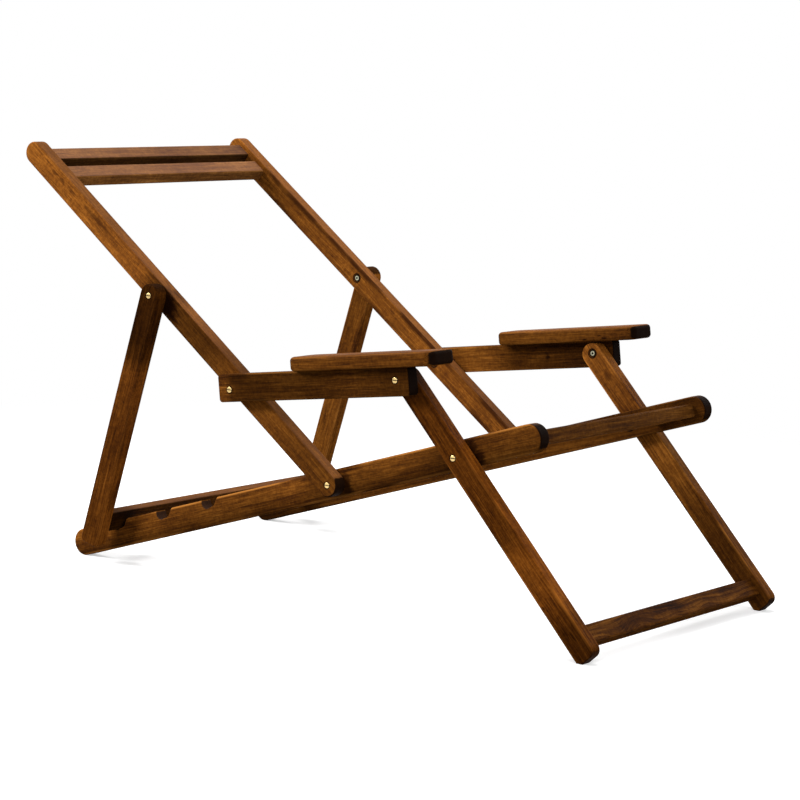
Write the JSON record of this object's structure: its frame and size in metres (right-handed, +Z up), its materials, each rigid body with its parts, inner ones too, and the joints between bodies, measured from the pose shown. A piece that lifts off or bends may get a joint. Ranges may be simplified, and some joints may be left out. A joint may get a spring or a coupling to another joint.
{
  "type": "folding deck chair frame",
  "caption": "Folding wooden deck chair frame with arm rests, notched seat rails, a prop bar and slats that hold a sling.",
  "frame": {"origin": "centre of the bounding box's footprint, on the floor the open chair stands on", "axes": "+Z up, -Y the way the sitter faces, +X the sitter's left"},
  "size_m": [0.594, 1.0958, 0.6451],
  "materials": {
    "stained_wood": "satin stained hardwood",
    "dark_wood": "satin dark stained hardwood",
    "dowel_wood": "plain",
    "brass_hardware": "worn bright",
    "washer_steel": "dull"
  },
  "bodies": {
    "seat_frame": {"seat_rail_left": "stained_wood", "seat_rail_right": "stained_wood", "front_slat_fore": "stained_wood", "front_slat_rear": "stained_wood", "front_slat_dowels": "dowel_wood"},
    "back_pivot_hardware": {"back_pivot_bolts": "brass_hardware", "back_pivot_nuts": "brass_hardware", "back_pivot_washers": "washer_steel"},
    "back_frame": {"back_stile_left": "stained_wood", "back_stile_right": "stained_wood", "top_slat_lower": "stained_wood", "top_slat_upper": "stained_wood", "top_slat_dowels": "dowel_wood"},
    "leg_pivot_hardware": {"leg_pivot_bolts": "brass_hardware", "leg_pivot_nuts": "brass_hardware", "leg_pivot_washers": "washer_steel"},
    "leg_frame": {"leg_left": "stained_wood", "leg_right": "stained_wood", "foot_rail": "stained_wood", "foot_rail_dowels": "dowel_wood", "knee_sleeve_nuts": "brass_hardware"},
    "prop_frame": {"prop_left": "dark_wood", "prop_right": "dark_wood", "prop_bar": "stained_wood", "prop_bar_dowels": "dowel_wood", "prop_pivot_bolts": "brass_hardware", "prop_pivot_nuts": "brass_hardware", "prop_pivot_washers": "washer_steel"},
    "arm_pivot_hardware_left": {"arm_pivot_bolt_left": "brass_hardware", "arm_pivot_nut_left": "brass_hardware", "arm_pivot_washer_left": "washer_steel"},
    "arm_left": {"arm_rail_left": "dark_wood", "arm_board_left": "stained_wood", "arm_board_dowels_left": "dowel_wood", "knee_screw_left": "brass_hardware", "knee_washer_left": "washer_steel"},
    "arm_pivot_hardware_right": {"arm_pivot_bolt_right": "brass_hardware", "arm_pivot_nut_right": "brass_hardware", "arm_pivot_washer_right": "washer_steel"},
    "arm_right": {"arm_rail_right": "dark_wood", "arm_board_right": "stained_wood", "arm_board_dowels_right": "dowel_wood", "knee_screw_right": "brass_hardware", "knee_washer_right": "washer_steel"}
  },
  "joints": [
    {"name": "recline", "type": "hinge", "parent": "seat_frame", "child": "back_pivot_hardware", "pos_m": [0, -0.07822, 0.1851], "axis": [1, 0, 0], "range_deg": [0, 13]},
    {"name": "back_fold", "type": "hinge", "parent": "back_pivot_hardware", "child": "back_frame", "pos_m": [0, -0.07822, 0.1851], "axis": [1, 0, 0], "range_deg": [-51.5, 0]},
    {"name": "leg_recline", "type": "hinge", "parent": "seat_frame", "child": "leg_pivot_hardware", "pos_m": [0, -0.29993, 0.25515], "axis": [1, 0, 0], "range_deg": [0, 16.4]},
    {"name": "leg_fold", "type": "hinge", "parent": "leg_pivot_hardware", "child": "leg_frame", "pos_m": [0, -0.29993, 0.25515], "axis": [1, 0, 0], "range_deg": [-64, 0]},
    {"name": "prop_fold", "type": "hinge", "parent": "back_frame", "child": "prop_frame", "pos_m": [0, 0.25985, 0.43093], "axis": [1, 0, 0], "range_deg": [0, 121.8]},
    {"name": "arm_recline_left", "type": "hinge", "parent": "back_frame", "child": "arm_pivot_hardware_left", "pos_m": [0.2582, 0.09371, 0.30727], "axis": [1, 0, 0], "range_deg": [-10.8, 0]},
    {"name": "arm_fold_left", "type": "hinge", "parent": "arm_pivot_hardware_left", "child": "arm_left", "pos_m": [0.2582, 0.09371, 0.30727], "axis": [1, 0, 0], "range_deg": [0, 42.9]},
    {"name": "arm_recline_right", "type": "hinge", "parent": "back_frame", "child": "arm_pivot_hardware_right", "pos_m": [-0.2582, 0.09371, 0.30727], "axis": [1, 0, 0], "range_deg": [-10.8, 0]},
    {"name": "arm_fold_right", "type": "hinge", "parent": "arm_pivot_hardware_right", "child": "arm_right", "pos_m": [-0.2582, 0.09371, 0.30727], "axis": [1, 0, 0], "range_deg": [0, 42.9]}
  ],
  "couplings": [
    {"joint": "leg_recline", "follows": "recline", "ratio": 1.258},
    {"joint": "leg_fold", "follows": "back_fold", "ratio": 1.241},
    {"joint": "prop_fold", "follows": "back_fold", "ratio": -2.3645},
    {"joint": "arm_recline_left", "follows": "recline", "ratio": -0.8236},
    {"joint": "arm_fold_left", "follows": "back_fold", "ratio": -0.8325},
    {"joint": "arm_recline_right", "follows": "recline", "ratio": -0.8236},
    {"joint": "arm_fold_right", "follows": "back_fold", "ratio": -0.8325}
  ]
}
